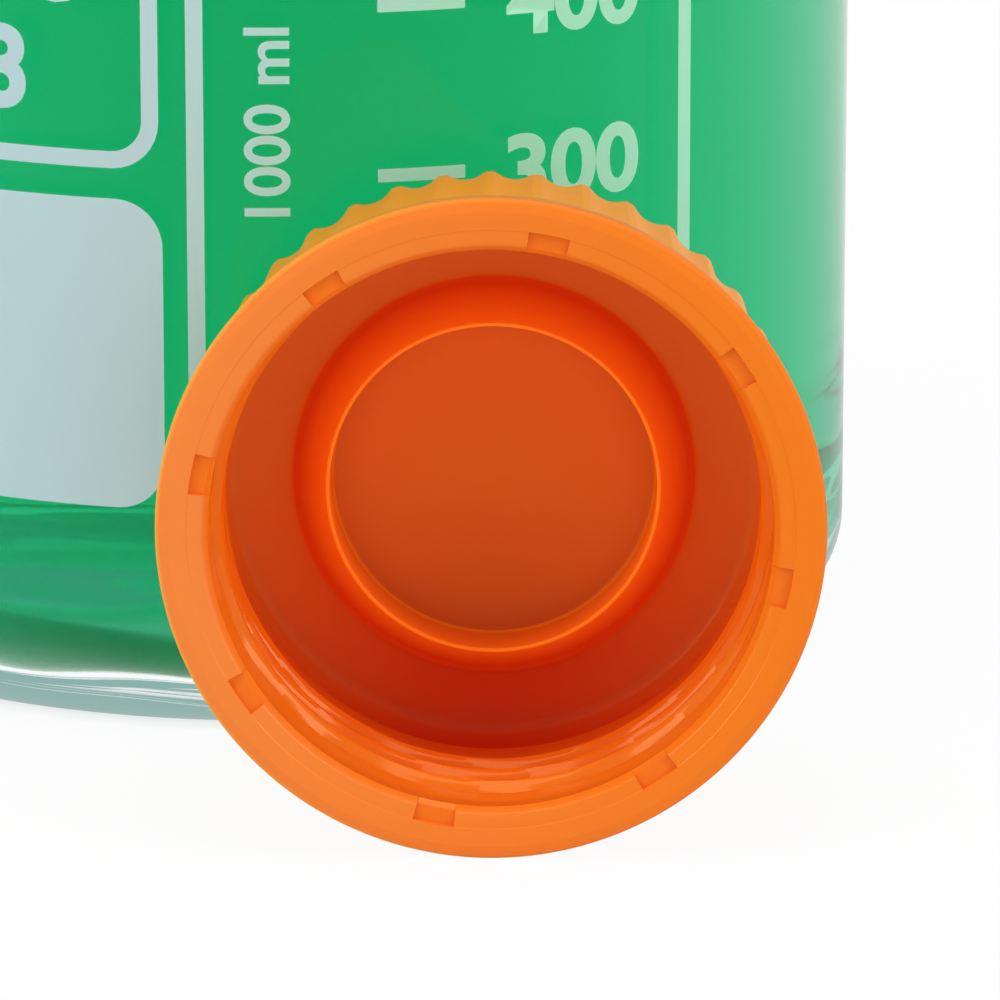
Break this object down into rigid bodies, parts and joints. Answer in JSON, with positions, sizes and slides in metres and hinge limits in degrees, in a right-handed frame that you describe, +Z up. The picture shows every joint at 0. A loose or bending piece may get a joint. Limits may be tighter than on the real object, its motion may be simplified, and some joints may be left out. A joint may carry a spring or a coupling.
{
  "type": "laboratory bottle",
  "caption": "Clear glass screw-neck laboratory bottle with white graduations, full of green liquid, with a pouring ring and its orange screw cap lying in front.",
  "frame": {"origin": "on the bottle's axis, in the plane of the bearing ring that the bottle stands on", "axes": "+Z up along the bottle's axis and out of its mouth; -Y towards the front, where the cap lies; +X to the right seen from the front"},
  "size_m": [0.101, 0.1347, 0.2266],
  "materials": {
    "clear_glass": "polished",
    "green_liquid": "polished",
    "orange_plastic": "satin",
    "white_enamel": "satin"
  },
  "bodies": {
    "root": {"glass_bottle": "clear_glass", "green_liquid": "green_liquid", "pouring_ring": "orange_plastic", "screw_cap": "orange_plastic"}
  },
  "joints": []
}
